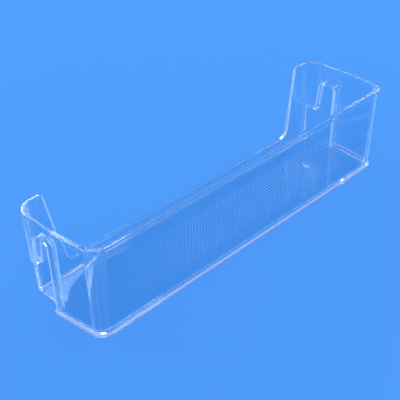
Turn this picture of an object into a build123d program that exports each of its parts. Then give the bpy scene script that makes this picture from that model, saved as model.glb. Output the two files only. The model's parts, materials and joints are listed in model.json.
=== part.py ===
"""Fridge door shelf in clear polystyrene: a one-piece tray with a low back and a lug channel in each end.

The shelf stands on its underside. X runs along its length, -Y is the front that faces into the
fridge, +Y is the door side, Z is up and the underside is at zero. All sizes are in millimetres.
"""

import os
from math import cos, radians, sin, tan

from build123d import *

# Overall sizes at the rim
LENGTH = 440.0
DEPTH = 110.5
HEIGHT = 102.5

# Plan of the walls: the ends run straight at the back and from their bend draw in, by a taper in degrees
END_TAPER = 5.9
BEND_FROM_BACK = 52.5
FRONT_CORNER = 14.0
REAR_CORNER = 19.5

# Lean of each wall from upright, in degrees, so that the moulding leaves its tool
FRONT_DRAFT = 0.8
END_DRAFT = 1.4
BACK_DRAFT = 1.6
BACK_DRAFT_INSIDE = 2.6

# The moulded wall, measured at the rim, and its rounds
WALL = 3.0
FLOOR = 3.0
FLOOR_ROUND = 5.0
BASE_ROUND = 1.2
RIM_ROUND = 1.0

# The bead that stiffens the front of the rim
BEAD_OUT = 1.7
BEAD_BAND = 4.0
BEAD_RUNOUT = 4.0
BEAD_SHORT_OF_BEND = 5.0

# The plinth that the front of the tray stands on
PLINTH_OUT = 1.8
PLINTH_HEIGHT = 3.6
PLINTH_ROUND = 1.0

# The low back and the two returns that stand beside it
LIP_HEIGHT = 16.0
RETURN_AT_RIM = 32.0
RETURN_AT_LIP = 48.5
RETURN_FOOT_ROUND = 12.0
RETURN_TIP_ROUND = 4.0

# The recess and channel that take the lug of the door liner, at each end
RECESS = 8.0
STEP_FROM_BACK = 45.3
LEDGE_HEIGHT = 44.5
CHANNEL_TOP = 81.5
EAR_FLAT = 3.0
EAR_LEAN = 4.5
CHANNEL_ROUND = 6.0
EAR_ROUND = 2.0
MOUTH_ROUND = 2.0
RECESS_ROUND = 1.0
BOSS_ROUND = 2.0

# How far the cutting tools pass clear of a wall, and how far added material sinks into one
CLEAR = 5.0
SINK = 0.5
TINY = 0.01

# Places that follow from the sizes above
FRONT = -DEPTH / 2
BACK = DEPTH / 2
WALL_FRONT = FRONT + BEAD_OUT
BEND = BACK - BEND_FROM_BACK
STEP = BACK - STEP_FROM_BACK
EAR_FOOT = BACK - REAR_CORNER - EAR_FLAT
EAR_HEAD = EAR_FOOT - EAR_LEAN
END_FOOT = LENGTH / 2 - HEIGHT * tan(radians(END_DRAFT))


def wall_face(x: float, y: float, toward_x: float, toward_y: float, draft: float, grow: float) -> Plane:
    """Plane of a wall through a point of the rim, facing outward and leaning by its draft, moved out by grow."""
    face = Plane(
        origin=(x, y, HEIGHT),
        z_dir=(toward_x * cos(radians(draft)), toward_y * cos(radians(draft)), -sin(radians(draft))),
    )
    return face.offset(grow)


def walls(grow: float, back_draft: float) -> list[Plane]:
    """Planes of all the walls, moved outward by grow."""
    faces = [
        wall_face(0, WALL_FRONT, 0, -1, FRONT_DRAFT, grow),
        wall_face(0, BACK, 0, 1, back_draft, grow),
    ]
    taper = radians(END_TAPER)
    for side in (-1, 1):
        end = side * LENGTH / 2
        faces.append(wall_face(end, BACK, side, 0, END_DRAFT, grow))
        faces.append(wall_face(end, BEND, side * cos(taper), -sin(taper), END_DRAFT, grow))
    return faces


def tray_block(foot: float, head: float, grow: float, back_draft: float = BACK_DRAFT) -> Part:
    """Solid block between two heights, bounded by the walls moved outward by grow, with its corners rounded."""
    with BuildPart() as block:
        with BuildSketch(Plane.XY.offset(foot)):
            Rectangle(2 * LENGTH, 2 * DEPTH)
        extrude(amount=head - foot)
        for face in walls(grow, back_draft):
            split(bisect_by=face, keep=Keep.BOTTOM)
        corners = block.edges().filter_by_position(Axis.Z, foot + TINY, head - TINY).sort_by(Axis.Y)
        fillet(corners[:2], FRONT_CORNER + grow)
        corners = block.edges().filter_by_position(Axis.Z, foot + TINY, head - TINY).sort_by(Axis.Y)
        fillet(corners[-2:], REAR_CORNER + grow)
    return block.part


def end_plane(inside: float) -> Plane:
    """Plane parallel to the right end wall and inside its outer face; its own x runs to the back, its y up."""
    return Plane(
        origin=(END_FOOT - inside, 0, 0),
        x_dir=(0, 1, 0),
        z_dir=(cos(radians(END_DRAFT)), 0, -sin(radians(END_DRAFT))),
    )


def lug_room(grow: float, edge_round: float) -> Part:
    """Room for the lug at the right end: a recess that runs to the back with a channel rising from it.

    With no grow this is the recess in the outside; grown by one wall it is the boss seen inside.
    """
    with BuildPart() as room:
        with BuildSketch(end_plane(RECESS + grow)) as profile:
            with BuildLine():
                Polyline(
                    (STEP, -CLEAR),
                    (STEP, CHANNEL_TOP),
                    (EAR_HEAD, CHANNEL_TOP),
                    (EAR_FOOT, LEDGE_HEIGHT),
                    (BACK + CLEAR, LEDGE_HEIGHT),
                    (BACK + CLEAR, -CLEAR),
                    close=True,
                )
            make_face()
            if grow != 0:
                offset(amount=grow, kind=Kind.INTERSECTION)
            fillet(profile.vertices().group_by(Axis.Y)[-1], CHANNEL_ROUND + grow)
            fillet(profile.vertices().group_by(Axis.Y)[1].sort_by(Axis.X)[0], EAR_ROUND)
        extrude(amount=RECESS + grow + CLEAR)
        inner_face = room.faces().sort_by(Axis.X)[0]
        fillet(inner_face.edges().filter_by_position(Axis.Z, 0, HEIGHT), edge_round)
    return room.part


def is_upright(edge: Edge) -> bool:
    """Whether an edge stands nearly straight up."""
    box = edge.bounding_box()
    return box.size.Z > 10 * (box.size.X + box.size.Y)


def at_mouth(edges: ShapeList) -> ShapeList:
    """The upright edges of the step where it meets the outer face of the end walls."""
    at_step = edges.filter_by_position(Axis.Y, STEP - SINK, STEP + SINK).filter_by(is_upright)
    return at_step.filter_by(lambda edge: abs(edge.center().X) > LENGTH / 2 - RECESS / 2)


# The recess of the right end and its mirror image
recess = lug_room(0, RECESS_ROUND)
recesses = [recess, mirror(recess, about=Plane.YZ, mode=Mode.PRIVATE)]

# Bead and plinth, drawn as full blocks; the cavity hollows them out later
with BuildPart() as bead:
    add(tray_block(HEIGHT - BEAD_BAND - BEAD_RUNOUT, HEIGHT, BEAD_OUT))
    under = bead.faces().sort_by(Axis.Z)[0]
    chamfer(under.edges(), length=BEAD_OUT + SINK, length2=BEAD_RUNOUT, reference=under)
    split(bisect_by=Plane(origin=(0, BEND - BEAD_SHORT_OF_BEND, 0), z_dir=(0, -1, 0)))

with BuildPart() as plinth:
    add(tray_block(0, PLINTH_HEIGHT, PLINTH_OUT))
    split(bisect_by=Plane(origin=(0, STEP + CLEAR, 0), z_dir=(0, -1, 0)))
    add(recesses, mode=Mode.SUBTRACT)
    fillet(at_mouth(plinth.edges()), PLINTH_OUT)

# Outer form: the drafted block with its bead and plinth, and both lug recesses taken out
with BuildPart() as outer:
    add(tray_block(0, HEIGHT, 0))
    add(bead.part)
    add(recesses, mode=Mode.SUBTRACT)
    fillet(at_mouth(outer.edges()), MOUTH_ROUND)
    add(plinth.part)
    top_of_plinth = outer.edges().filter_by_position(Axis.Z, PLINTH_HEIGHT - TINY, PLINTH_HEIGHT + TINY)
    fillet(top_of_plinth.sort_by(Axis.Y)[0], PLINTH_ROUND)
    fillet(outer.faces().sort_by(Axis.Z)[0].edges(), BASE_ROUND)

# Inner form: the drafted cavity, rounded where the walls meet the floor, with both bosses left standing in it
with BuildPart() as cavity:
    add(tray_block(FLOOR, HEIGHT + CLEAR, -WALL, BACK_DRAFT_INSIDE))
    fillet(cavity.faces().sort_by(Axis.Z)[0].edges(), FLOOR_ROUND)
    boss = lug_room(WALL, BOSS_ROUND)
    add([boss, mirror(boss, about=Plane.YZ, mode=Mode.PRIVATE)], mode=Mode.SUBTRACT)

# Opening above the low back, between the two returns
with BuildPart() as opening:
    with BuildSketch(Plane.XZ.offset(-BACK - CLEAR)) as gap:
        with BuildLine():
            Polyline(
                (-LENGTH / 2 + RETURN_AT_LIP, LIP_HEIGHT),
                (LENGTH / 2 - RETURN_AT_LIP, LIP_HEIGHT),
                (LENGTH / 2 - RETURN_AT_RIM, HEIGHT),
                (LENGTH / 2 - RETURN_AT_RIM, HEIGHT + CLEAR),
                (-LENGTH / 2 + RETURN_AT_RIM, HEIGHT + CLEAR),
                (-LENGTH / 2 + RETURN_AT_RIM, HEIGHT),
                close=True,
            )
        make_face()
        fillet(gap.vertices().group_by(Axis.Y)[0], RETURN_FOOT_ROUND)
    extrude(amount=CLEAR + BACK - STEP)

# The shelf: the outer form less its inside and its opening, with the rim rounded
with BuildPart() as shelf:
    add(outer.part)
    add(cavity.part, mode=Mode.SUBTRACT)
    add(opening.part, mode=Mode.SUBTRACT)
    rim = shelf.faces().sort_by(Axis.Z)[-1]
    fillet(rim.edges().filter_by(Axis.Y).filter_by_position(Axis.Y, BACK - 2 * WALL, BACK), RETURN_TIP_ROUND)
    rim = shelf.faces().sort_by(Axis.Z)[-1]
    fillet(rim.edges().filter_by(lambda edge: edge.length > 1.2 * WALL), RIM_ROUND)

shelf.part.label = "door_shelf"
os.makedirs("parts", exist_ok=True)
export_step(shelf.part, "parts/door_shelf.step")
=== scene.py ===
"""Studio scene of a clear fridge door shelf: its moulded finish, the floor, the lights and the camera."""

import json
import logging
import math
from dataclasses import dataclass, field
from enum import Enum
from typing import Any, Optional, Union

import bmesh
import bpy
from mathutils import Matrix, Vector

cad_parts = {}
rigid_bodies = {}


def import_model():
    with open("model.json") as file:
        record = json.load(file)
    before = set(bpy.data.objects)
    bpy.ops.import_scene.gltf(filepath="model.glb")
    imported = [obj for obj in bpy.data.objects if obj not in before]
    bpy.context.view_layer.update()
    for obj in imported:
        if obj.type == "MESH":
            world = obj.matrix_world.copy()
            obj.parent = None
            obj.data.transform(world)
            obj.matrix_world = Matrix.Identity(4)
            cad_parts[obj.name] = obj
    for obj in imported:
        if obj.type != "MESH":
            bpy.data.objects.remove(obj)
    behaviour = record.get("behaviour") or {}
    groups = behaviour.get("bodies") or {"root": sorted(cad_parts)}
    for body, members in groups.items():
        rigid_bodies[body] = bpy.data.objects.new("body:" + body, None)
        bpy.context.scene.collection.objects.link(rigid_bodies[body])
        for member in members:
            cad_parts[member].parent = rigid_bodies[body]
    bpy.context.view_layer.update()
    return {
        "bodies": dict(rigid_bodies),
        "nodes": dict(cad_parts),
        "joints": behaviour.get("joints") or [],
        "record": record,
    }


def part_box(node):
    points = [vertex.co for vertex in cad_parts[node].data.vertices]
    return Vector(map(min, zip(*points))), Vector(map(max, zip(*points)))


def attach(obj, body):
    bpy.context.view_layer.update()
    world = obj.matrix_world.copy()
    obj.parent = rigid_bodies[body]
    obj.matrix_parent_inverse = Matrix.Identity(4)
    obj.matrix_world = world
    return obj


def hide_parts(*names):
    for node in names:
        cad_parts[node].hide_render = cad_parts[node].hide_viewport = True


log = logging.getLogger("door_shelf")

LIGHT_BOUNCES = 200

Colour = tuple[float, float, float, float]
Link = Union["Wire", bpy.types.NodeSocket, float, tuple]
Patch = list[bmesh.types.BMFace]


def share(value: float, low: float, high: float) -> float:
    """Where a value lies between two others.

    Args:
        value: The value.
        low: Where the share is nought.
        high: Where it is one.

    Returns:
        The share, held to the range from nought to one.
    """
    return min(max((value - low) / (high - low), 0.0), 1.0)


class Axis(Enum):
    """The outputs of Separate XYZ, in their order."""

    X = 0
    Y = 1
    Z = 2


class Mark(Enum):
    """The marks that the shelf's faces carry for its material, each from nought to one."""

    ROUNDS = "rounds"
    UPRIGHTS = "uprights"
    CORNERS = "corners"
    PLINTH = "plinth"


class Wire:
    """A number that flows through a node tree, with Python's operators for its maths."""

    def __init__(self, graph: "Graph", socket: bpy.types.NodeSocket) -> None:
        """Wraps one output socket of a graph."""
        self.graph = graph
        self.socket = socket

    def _math(self, operation: str, *values: Link) -> "Wire":
        """Adds one Math node.

        Args:
            operation: The node's operation.
            values: Its inputs, as wires or numbers.

        Returns:
            The node's result.
        """
        node = self.graph.node("ShaderNodeMath", {"operation": operation}, dict(enumerate(values)))
        return Wire(self.graph, node.outputs[0])

    def __add__(self, other: Link) -> "Wire":
        """This plus another."""
        return self._math("ADD", self, other)

    def __radd__(self, other: Link) -> "Wire":
        """Another plus this."""
        return self._math("ADD", other, self)

    def __sub__(self, other: Link) -> "Wire":
        """This less another."""
        return self._math("SUBTRACT", self, other)

    def __rsub__(self, other: Link) -> "Wire":
        """Another less this."""
        return self._math("SUBTRACT", other, self)

    def __mul__(self, other: Link) -> "Wire":
        """This times another."""
        return self._math("MULTIPLY", self, other)

    def __rmul__(self, other: Link) -> "Wire":
        """Another times this."""
        return self._math("MULTIPLY", other, self)

    def __truediv__(self, other: Link) -> "Wire":
        """This divided by another."""
        return self._math("DIVIDE", self, other)

    def __pow__(self, other: Link) -> "Wire":
        """This to a power."""
        return self._math("POWER", self, other)

    def size(self) -> "Wire":
        """The number without its sign."""
        return self._math("ABSOLUTE", self)

    def root(self) -> "Wire":
        """The square root."""
        return self._math("SQRT", self)

    def part(self) -> "Wire":
        """What is left above the whole number below."""
        return self._math("FRACT", self)

    def larger(self, other: Link) -> "Wire":
        """The larger of this and another."""
        return self._math("MAXIMUM", self, other)

    def step(self, low: float, high: float) -> "Wire":
        """A smooth rise from nought to one.

        Args:
            low: Where the rise starts.
            high: Where it ends.

        Returns:
            The rise, held to the range from nought to one.
        """
        settings = {"interpolation_type": "SMOOTHSTEP"}
        inputs = {"Value": self, "From Min": low, "From Max": high}
        node = self.graph.node("ShaderNodeMapRange", settings, inputs)
        return Wire(self.graph, node.outputs["Result"])


class Graph:
    """A node tree that is filled from an empty one."""

    def __init__(self, tree: bpy.types.NodeTree) -> None:
        """Clears a tree and keeps it."""
        self.tree = tree
        self.tree.nodes.clear()

    def node(
        self,
        kind: str,
        settings: Optional[dict[str, Any]] = None,
        inputs: Optional[dict[Union[str, int], Link]] = None,
    ) -> bpy.types.Node:
        """Adds one node of any type.

        Args:
            kind: The node's type.
            settings: Its own properties, which are set first.
            inputs: The values or links of its sockets, by name or number.

        Returns:
            The new node.
        """
        made = self.tree.nodes.new(kind)
        for name, value in (settings or {}).items():
            setattr(made, name, value)
        for name, value in (inputs or {}).items():
            socket = made.inputs[name]
            if isinstance(value, Wire):
                self.tree.links.new(value.socket, socket)
            elif isinstance(value, bpy.types.NodeSocket):
                self.tree.links.new(value, socket)
            else:
                socket.default_value = value
        return made

    def mix(self, part: Link, first: bpy.types.Node, second: bpy.types.Node) -> bpy.types.Node:
        """Adds one Mix Shader.

        Args:
            part: How much of the second shader shows.
            first: The shader that shows at nought.
            second: The shader that shows at one.

        Returns:
            The new node.
        """
        inputs = {0: part, 1: first.outputs[0], 2: second.outputs[0]}
        return self.node("ShaderNodeMixShader", inputs=inputs)

    def place(self) -> list[Wire]:
        """The object's own coordinates, in metres.

        Returns:
            One wire for each axis.
        """
        where = self.node("ShaderNodeTexCoord")
        split = self.node("ShaderNodeSeparateXYZ", inputs={"Vector": where.outputs["Object"]})
        return [Wire(self, split.outputs[axis.value]) for axis in Axis]


@dataclass(frozen=True)
class ClearPolystyrene:
    """The clear moulded plastic: polished walls and pips on the front, with a painted highlight on the
    rounds, corners and pips, and a painted glow on the plinth.

    Lengths are in metres. A value whose name ends in highlight or glint is a share of painted highlight.
    """

    name: str = "clear_polystyrene"

    # The clear walls, and the tint of the light that passes through them
    tint: Colour = (0.84, 0.91, 0.95, 1.0)
    shade: Colour = (0.93, 0.95, 0.965, 1.0)
    index: float = 1.59
    roughness: float = 0.01
    round_roughness: float = 0.01

    # The painted highlight on the rounds and corners: a pale hazy layer that stands in for the light
    # gathered in the edges
    painted_highlight: Colour = (0.86, 0.93, 1.0, 1.0)
    painted_highlight_roughness: float = 0.3
    painted_highlight_transmission: float = 0.1
    round_highlight: float = 0.04
    upright_highlight: float = 1.0
    corner_highlight: float = 1.0
    corner_highlight_power: float = 2.0

    # The painted glow on the plinth, a matt lavender band that stands in for the light gathered in the base,
    # and its uneven speckle
    painted_glow: Colour = (0.48, 0.53, 0.78, 1.0)
    painted_glow_share: float = 0.95
    painted_glow_least: float = 0.8
    painted_glow_roughness: float = 0.6
    painted_glow_gloss: float = 0.2
    glow_speckle_scale: float = 700.0
    glow_speckle_detail: float = 2.0
    glow_speckle_low: float = 0.35
    glow_speckle_high: float = 0.65

    # The pips, their painted glints and the panel that they cover
    pip_glint: float = 0.9
    pip_pitch_x: float = 0.0042
    pip_pitch_z: float = 0.0038
    pip_radius: float = 0.00115
    pip_least: float = 0.3
    pip_relief: float = 0.00003
    panel_middle: float = 0.08
    panel_half_length: float = 0.196
    panel_low: float = 0.017
    panel_high: float = 0.083
    panel_fade: float = 0.004
    front_fade: float = 0.0004

    def make(self, front: float) -> bpy.types.Material:
        """Builds the material.

        Args:
            front: The plane behind which no pips stand, in metres along Y.

        Returns:
            The finished material.
        """
        material = bpy.data.materials.new(self.name)
        material.use_nodes = True
        graph = Graph(material.node_tree)
        pips = self._pips(graph, front)
        rounds = self._mark(graph, Mark.ROUNDS)
        clear = self._clear_shader(graph, rounds, pips)
        # Painted highlight: a pale hazy layer on the rounds, the upright rounds, the corners and the pips
        walls = graph.mix(self._painted_highlight_share(graph, rounds, pips), clear, self._painted_highlight_shader(graph))
        # Painted glow: a matt lavender band on the plinth
        plastic = graph.mix(self._painted_glow_share(graph), walls, self._painted_glow_shader(graph))
        path = graph.node("ShaderNodeLightPath")
        passing = Wire(graph, path.outputs["Is Shadow Ray"]).larger(path.outputs["Is Diffuse Ray"])
        through = graph.node("ShaderNodeBsdfTransparent", inputs={"Color": self.shade})
        surface = graph.mix(passing, plastic, through)
        graph.node("ShaderNodeOutputMaterial", inputs={"Surface": surface.outputs[0]})
        return material

    def _clear_shader(self, graph: Graph, rounds: Wire, pips: Wire) -> bpy.types.Node:
        """Builds the clear plastic, with the pips in relief.

        Args:
            graph: The tree to build in.
            rounds: How tightly the surface turns.
            pips: The height of the pips.

        Returns:
            The shader.
        """
        bump = graph.node(
            "ShaderNodeBump", inputs={"Strength": 1.0, "Distance": self.pip_relief, "Height": pips}
        )
        return graph.node(
            "ShaderNodeBsdfPrincipled",
            {"distribution": "MULTI_GGX"},
            {
                "Base Color": self.tint,
                "Roughness": self.roughness + self.round_roughness * rounds,
                "IOR": self.index,
                "Transmission Weight": 1.0,
                "Normal": bump.outputs["Normal"],
            },
        )

    def _painted_highlight_shader(self, graph: Graph) -> bpy.types.Node:
        """Builds the pale hazy layer that paints the highlight on the rounds, corners and pips.

        Args:
            graph: The tree to build in.

        Returns:
            The shader.
        """
        return graph.node(
            "ShaderNodeBsdfPrincipled",
            {"distribution": "MULTI_GGX"},
            {
                "Base Color": self.painted_highlight,
                "Roughness": self.painted_highlight_roughness,
                "IOR": self.index,
                "Transmission Weight": self.painted_highlight_transmission,
            },
        )

    def _painted_glow_shader(self, graph: Graph) -> bpy.types.Node:
        """Builds the matt lavender layer that paints a glow on the plinth.

        Args:
            graph: The tree to build in.

        Returns:
            The shader.
        """
        return graph.node(
            "ShaderNodeBsdfPrincipled",
            inputs={
                "Base Color": self.painted_glow,
                "Roughness": self.painted_glow_roughness,
                "Specular IOR Level": self.painted_glow_gloss,
            },
        )

    def _mark(self, graph: Graph, mark: Mark) -> Wire:
        """The number that each face carries for a mark."""
        attribute = graph.node("ShaderNodeAttribute", {"attribute_name": mark.value})
        return Wire(graph, attribute.outputs["Fac"])

    def _painted_glow_share(self, graph: Graph) -> Wire:
        """How far the plinth carries its painted glow, with a fine uneven speckle.

        Args:
            graph: The tree to build in.

        Returns:
            The share of painted glow, from nought to one.
        """
        where = graph.node("ShaderNodeTexCoord")
        noise = graph.node(
            "ShaderNodeTexNoise",
            inputs={
                "Vector": where.outputs["Object"],
                "Scale": self.glow_speckle_scale,
                "Detail": self.glow_speckle_detail,
            },
        )
        glow_speckle = Wire(graph, noise.outputs[0]).step(self.glow_speckle_low, self.glow_speckle_high)
        speckle = self.painted_glow_least + (1.0 - self.painted_glow_least) * glow_speckle
        return self.painted_glow_share * self._mark(graph, Mark.PLINTH) * speckle

    def _painted_highlight_share(self, graph: Graph, rounds: Wire, pips: Wire) -> Wire:
        """How far the painted highlight covers the surface, most on the upright rounds, more on corners seen
        edge-on, and on the pips as seen from outside.

        Args:
            graph: The tree to build in.
            rounds: How tightly the surface turns.
            pips: The height of the pips.

        Returns:
            The share of painted highlight, from nought to one.
        """
        facing = Wire(graph, graph.node("ShaderNodeLayerWeight").outputs["Facing"])
        inside = Wire(graph, graph.node("ShaderNodeNewGeometry").outputs["Backfacing"])
        uprights = self.upright_highlight * self._mark(graph, Mark.UPRIGHTS)
        # Painted highlight on the corners, growing where they are seen edge-on
        corners = self.corner_highlight * self._mark(graph, Mark.CORNERS) * facing ** self.corner_highlight_power
        edges = (self.round_highlight * rounds).larger(uprights.larger(corners))
        # Painted glint: the pips show the pale hazy layer only from outside, on top of their real relief
        return edges.larger(self.pip_glint * pips * (1.0 - inside))

    def _pips(self, graph: Graph, front: float) -> Wire:
        """Height of the pips: domes in rows and columns inside the panel, finer towards its ends.

        Args:
            graph: The tree to build in.
            front: The plane behind which no pips stand.

        Returns:
            The height, from nought to one.
        """
        x, y, z = graph.place()
        across = ((x / self.pip_pitch_x).part() - 0.5) * self.pip_pitch_x
        up = ((z / self.pip_pitch_z).part() - 0.5) * self.pip_pitch_z
        finer = 1.0 - (1.0 - self.pip_least) * x.size().step(self.panel_middle, self.panel_half_length)
        reach = (across ** 2.0 + up ** 2.0).root() / (finer * self.pip_radius)
        dome = 1.0 - reach.step(0.0, 1.0)
        ends = 1.0 - x.size().step(self.panel_half_length - self.panel_fade, self.panel_half_length)
        rise = z.step(self.panel_low, self.panel_low + self.panel_fade)
        fall = 1.0 - z.step(self.panel_high - self.panel_fade, self.panel_high)
        face = 1.0 - y.step(front - self.front_fade, front)
        return dome * ends * rise * fall * face


@dataclass(frozen=True)
class FloorPaper:
    """The plain matt paper of the floor."""

    colour: Colour
    name: str = "floor_paper"
    roughness: float = 0.5

    def make(self) -> bpy.types.Material:
        """Builds the floor's material.

        Returns:
            The finished material.
        """
        material = bpy.data.materials.new(self.name)
        material.use_nodes = True
        graph = Graph(material.node_tree)
        inputs = {"Color": self.colour, "Roughness": self.roughness}
        shader = graph.node("ShaderNodeBsdfDiffuse", inputs=inputs)
        graph.node("ShaderNodeOutputMaterial", inputs={"Surface": shader.outputs[0]})
        return material


@dataclass
class DoorShelf:
    """The moulded tray, shown as a smooth copy of its CAD solid.

    Lengths are in metres. A bend is in radians for each metre across the surface.
    """

    node: str = "door_shelf"
    piece: str = "clear_shelf"
    slot: str = "clear_polystyrene"
    wall: float = 0.003
    finish: ClearPolystyrene = field(default_factory=ClearPolystyrene)

    # The merging and the smooth shading
    merge: float = 1e-6
    sharp_degrees: float = 27.5
    flat_degrees: float = 0.3
    least_share: float = 0.12

    # The limits of the marked faces
    plinth_height: float = 0.0037
    plinth_ledge: float = 0.0033
    upright: float = 0.9
    slack_bend: float = 300.0
    tight_bend: float = 700.0
    corner_bend: float = 45.0
    slack_upright: float = 150.0
    tight_upright: float = 400.0
    rising_share: float = 0.8

    def build(self, frame: dict[str, Any]) -> bpy.types.Object:
        """Copies the solid, merges its loose triangles, shades it smooth and dresses it.


        Returns:
            The piece that stands for the CAD node.
        """
        mesh = frame["nodes"][self.node].data.copy()
        mesh.name = self.piece
        work = bmesh.new()
        work.from_mesh(mesh)
        bmesh.ops.remove_doubles(work, verts=work.verts, dist=self.merge)
        for face in work.faces:
            face.smooth = True
        for edge in work.edges:
            edge.smooth = edge.calc_face_angle(math.pi) < math.radians(self.sharp_degrees)
        for mark in Mark:
            work.faces.layers.float.new(mark.value)
        patches = self._patches(work)
        self._mark_rounds(work, patches)
        self._mark_plinth(work)
        normals = self._normals(work, patches)
        work.to_mesh(mesh)
        work.free()
        mesh.normals_split_custom_set(normals)
        mesh.materials.clear()
        low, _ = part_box(self.node)
        mesh.materials.append(self.finish.make(low.y + self.wall))
        shelf = bpy.data.objects.new(self.piece, mesh)
        bpy.context.scene.collection.objects.link(shelf)
        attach(shelf, "root")
        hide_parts(self.node)
        return shelf

    def _mark_plinth(self, work: bmesh.types.BMesh) -> None:
        """Marks the low upright faces, which are mostly the plinth's, and the ledge on the plinth's top,
        where the painted glow goes.

        Args:
            work: The merged mesh.
        """
        marks = work.faces.layers.float[Mark.PLINTH.value]
        for face in work.faces:
            heights = [corner.co.z for corner in face.verts]
            shows = abs(face.normal.z) < self.upright or min(heights) > self.plinth_ledge
            face[marks] = float(shows and max(heights) < self.plinth_height)

    def _patches(self, work: bmesh.types.BMesh) -> list[Patch]:
        """Gathers the triangles that lie in one plane and touch.

        Args:
            work: The merged mesh.

        Returns:
            The triangles of each plane patch.
        """
        flat = math.radians(self.flat_degrees)
        seen: set[bmesh.types.BMFace] = set()
        patches: list[Patch] = []
        for first in work.faces:
            if first in seen:
                continue
            seen.add(first)
            patch = [first]
            for face in patch:
                for edge in face.edges:
                    if edge.calc_face_angle(math.pi) <= flat:
                        fresh = [other for other in edge.link_faces if other not in seen]
                        seen.update(fresh)
                        patch.extend(fresh)
            patches.append(patch)
        return patches

    def _normals(self, work: bmesh.types.BMesh, patches: list[Patch]) -> list[Vector]:
        """Works out the shading normals, so that a wall stays flat up to the round beside it.

        At a corner of a triangle the faces that meet there smoothly count by their angle, apart from
        those whose whole patch is much smaller than the largest one there.

        Args:
            work: The merged mesh, with its sharp edges marked.
            patches: Its plane patches.

        Returns:
            One normal for each corner of each face, in the order of the mesh.
        """
        area: dict[bmesh.types.BMFace, float] = {}
        for patch in patches:
            area.update(dict.fromkeys(patch, sum(face.calc_area() for face in patch)))
        normals: list[Vector] = []
        for face in work.faces:
            for corner in face.loops:
                fan = self._fan(corner)
                least = self.least_share * max(area[near.face] for near in fan)
                parts = (near.calc_angle() * near.face.normal for near in fan if area[near.face] >= least)
                normals.append(sum(parts, Vector()).normalized())
        return normals

    def _fan(self, corner: bmesh.types.BMLoop) -> list[bmesh.types.BMLoop]:
        """Finds the corners at one point that meet without a sharp edge between them.

        Args:
            corner: The corner to start from.

        Returns:
            That corner and the others.
        """
        fan = [corner]
        faces = {corner.face}
        for near in fan:
            for edge in (near.edge, near.link_loop_prev.edge):
                for loop in (other for other in edge.link_loops if edge.smooth and other.face not in faces):
                    faces.add(loop.face)
                    fan.append(loop if loop.vert is corner.vert else loop.link_loop_next)
        return fan

    def _mark_rounds(self, work: bmesh.types.BMesh, patches: list[Patch]) -> None:
        """Writes on each face how tightly the surface turns there, from nought on a wall to one on a round.

        Rounds whose own axis stands upright get a second mark, and a third that starts at wider corners.

        Args:
            work: The merged mesh.
            patches: Its plane patches.
        """
        rounds = work.faces.layers.float[Mark.ROUNDS.value]
        uprights = work.faces.layers.float[Mark.UPRIGHTS.value]
        corners = work.faces.layers.float[Mark.CORNERS.value]
        flat = math.radians(self.flat_degrees)
        for patch in patches:
            outline = turning = rising = 0.0
            for edge in (edge for face in patch for edge in face.edges):
                turn = edge.calc_face_angle(math.pi)
                if turn > flat:
                    low, high = edge.verts
                    outline += edge.calc_length()
                    turning += turn * edge.calc_length()
                    rising += turn * abs(high.co.z - low.co.z)
            width = 2 * sum(face.calc_area() for face in patch) / max(outline, self.merge)
            bend = turning / max(outline * width, self.merge ** 2)
            stands = rising > self.rising_share * turning
            for face in patch:
                face[rounds] = share(bend, self.slack_bend, self.tight_bend)
                face[uprights] = share(bend, self.slack_upright, self.tight_upright) * stands
                face[corners] = float(stands and bend > self.corner_bend)


@dataclass(frozen=True)
class SoftBox:
    """A flat lamp that faces the shelf, placed by its direction from the middle of the shelf.

    Angles are in degrees, the azimuth from +X towards +Y, and lengths are in metres.
    """

    name: str
    azimuth: float
    elevation: float
    width: float
    height: float
    radiance: float
    distance: float = 6.0

    def build(self, aim: Vector) -> None:
        """Hangs the lamp.

        Args:
            aim: The point that the lamp faces.
        """
        data = bpy.data.lights.new(self.name, "AREA")
        data.shape = "RECTANGLE"
        data.size = self.width
        data.size_y = self.height
        data.energy = self.radiance * math.pi * self.width * self.height
        turn = math.radians(self.azimuth)
        rise = math.radians(self.elevation)
        toward = Vector((math.cos(rise) * math.cos(turn), math.cos(rise) * math.sin(turn), math.sin(rise)))
        lamp = bpy.data.objects.new(self.name, data)
        lamp.location = aim + self.distance * toward
        lamp.rotation_mode = "QUATERNION"
        lamp.rotation_quaternion = toward.to_track_quat("Z", "Y")
        lamp.visible_camera = False
        bpy.context.scene.collection.objects.link(lamp)


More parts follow.
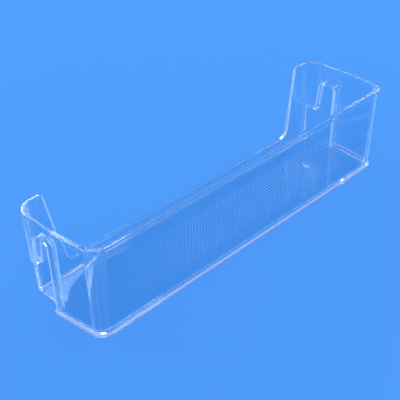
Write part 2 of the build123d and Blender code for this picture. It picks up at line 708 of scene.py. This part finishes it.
@dataclass
class Studio:
    """A plain sheet as floor and walls, a white ceiling and a few soft boxes.

    Lengths are in metres. The sheet ends and the ceiling starts at elevations in degrees.
    """

    sheet: Colour = (0.1, 0.35, 0.78, 1.0)
    sheet_strength: float = 1.0
    ceiling: Colour = (1.0, 1.0, 1.0, 1.0)
    ceiling_strength: float = 0.35
    sheet_ends: float = 42.0
    ceiling_starts: float = 58.0
    floor_size: float = 8.0
    floor_drop: float = 0.0002
    aim: tuple[float, float, float] = (0.0, 0.0, 0.05)

    # Left and right are as the camera sees them
    lamps: tuple[SoftBox, ...] = (
        SoftBox("left_box", azimuth=88.5, elevation=30.8, width=6.5, height=1.45, radiance=8.0),
        SoftBox("left_strip", azimuth=90.0, elevation=41.8, width=5.6, height=0.3, radiance=2.4),
        SoftBox("right_box", azimuth=-5.0, elevation=21.0, width=4.0, height=3.2, radiance=5.5),
        SoftBox("right_back_box", azimuth=20.0, elevation=17.0, width=1.25, height=2.1, radiance=5.5),
        SoftBox("key_box", azimuth=222.0, elevation=42.0, width=4.5, height=3.5, radiance=2.0, distance=5.0),
    )

    def build(self) -> None:
        """Builds everything round the shelf."""
        self._floor()
        self._room()
        for lamp in self.lamps:
            lamp.build(Vector(self.aim))

    def _floor(self) -> None:
        """Builds the floor under the shelf."""
        work = bmesh.new()
        bmesh.ops.create_grid(work, x_segments=1, y_segments=1, size=self.floor_size / 2)
        bmesh.ops.translate(work, verts=work.verts, vec=(0, 0, -self.floor_drop))
        mesh = bpy.data.meshes.new("floor")
        work.to_mesh(mesh)
        work.free()
        mesh.materials.append(FloorPaper(colour=self.sheet).make())
        floor = bpy.data.objects.new("floor", mesh)
        bpy.context.scene.collection.objects.link(floor)

    def _room(self) -> None:
        """Gives the room its white ceiling, above walls in the floor's colour."""
        world = bpy.data.worlds.new("room")
        world.use_nodes = True
        graph = Graph(world.node_tree)
        where = graph.node("ShaderNodeTexCoord")
        split = graph.node("ShaderNodeSeparateXYZ", inputs={"Vector": where.outputs["Generated"]})
        height = Wire(graph, split.outputs[Axis.Z.value])
        low = math.sin(math.radians(self.sheet_ends))
        high = math.sin(math.radians(self.ceiling_starts))
        walls = self._background(graph, self.sheet, self.sheet_strength)
        top = self._background(graph, self.ceiling, self.ceiling_strength)
        both = graph.mix(height.step(low, high), walls, top)
        graph.node("ShaderNodeOutputWorld", inputs={"Surface": both.outputs[0]})
        bpy.context.scene.world = world

    def _background(self, graph: Graph, colour: Colour, strength: float) -> bpy.types.Node:
        """One even light of the room."""
        return graph.node("ShaderNodeBackground", inputs={"Color": colour, "Strength": strength})


@dataclass
class ViewPoint:
    """The camera, above the front left corner of the shelf.

    Its place is in metres and its sensor in millimetres.
    """

    place: tuple[float, float, float] = (-0.5475, -0.51495, 0.5357)
    forward: tuple[float, float, float] = (0.587, 0.5848, -0.5599)
    up: tuple[float, float, float] = (0.4073, 0.3844, 0.8285)
    focal_pixels: float = 837.11
    frame_pixels: float = 400.0
    sensor: float = 36.0

    def build(self) -> bpy.types.Object:
        """Places the camera and makes it the scene's own.

        Returns:
            The camera.
        """
        data = bpy.data.cameras.new("camera")
        data.sensor_width = self.sensor
        data.lens = self.focal_pixels / self.frame_pixels * self.sensor
        back = -Vector(self.forward).normalized()
        right = Vector(self.up).cross(back).normalized()
        upright = back.cross(right)
        turn = Matrix((right, upright, back)).transposed()
        camera = bpy.data.objects.new("camera", data)
        camera.matrix_world = Matrix.Translation(Vector(self.place)) @ turn.to_4x4()
        bpy.context.scene.collection.objects.link(camera)
        bpy.context.scene.camera = camera
        return camera


def set_up_render(scene: bpy.types.Scene) -> None:
    """Shows colours as they are written, and lets light cross the plastic as often as it needs to.

    Args:
        scene: The scene that is rendered.
    """
    scene.view_settings.view_transform = "Standard"
    scene.cycles.max_bounces = LIGHT_BOUNCES
    scene.cycles.glossy_bounces = LIGHT_BOUNCES
    scene.cycles.transmission_bounces = LIGHT_BOUNCES
    scene.cycles.transparent_max_bounces = LIGHT_BOUNCES


def main() -> None:
    """Builds the shelf, then the studio and the camera."""
    logging.basicConfig(level=logging.INFO, format="%(name)s: %(message)s")
    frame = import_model()
    set_up_render(bpy.context.scene)
    shelf = DoorShelf().build(frame)
    log.info("%s has %d faces", shelf.name, len(shelf.data.polygons))
    Studio().build()
    log.info("the studio is set")
    camera = ViewPoint().build()
    log.info("%s looks from %s", camera.name, tuple(round(part, 3) for part in camera.location))


if __name__ == "__main__":
    main()
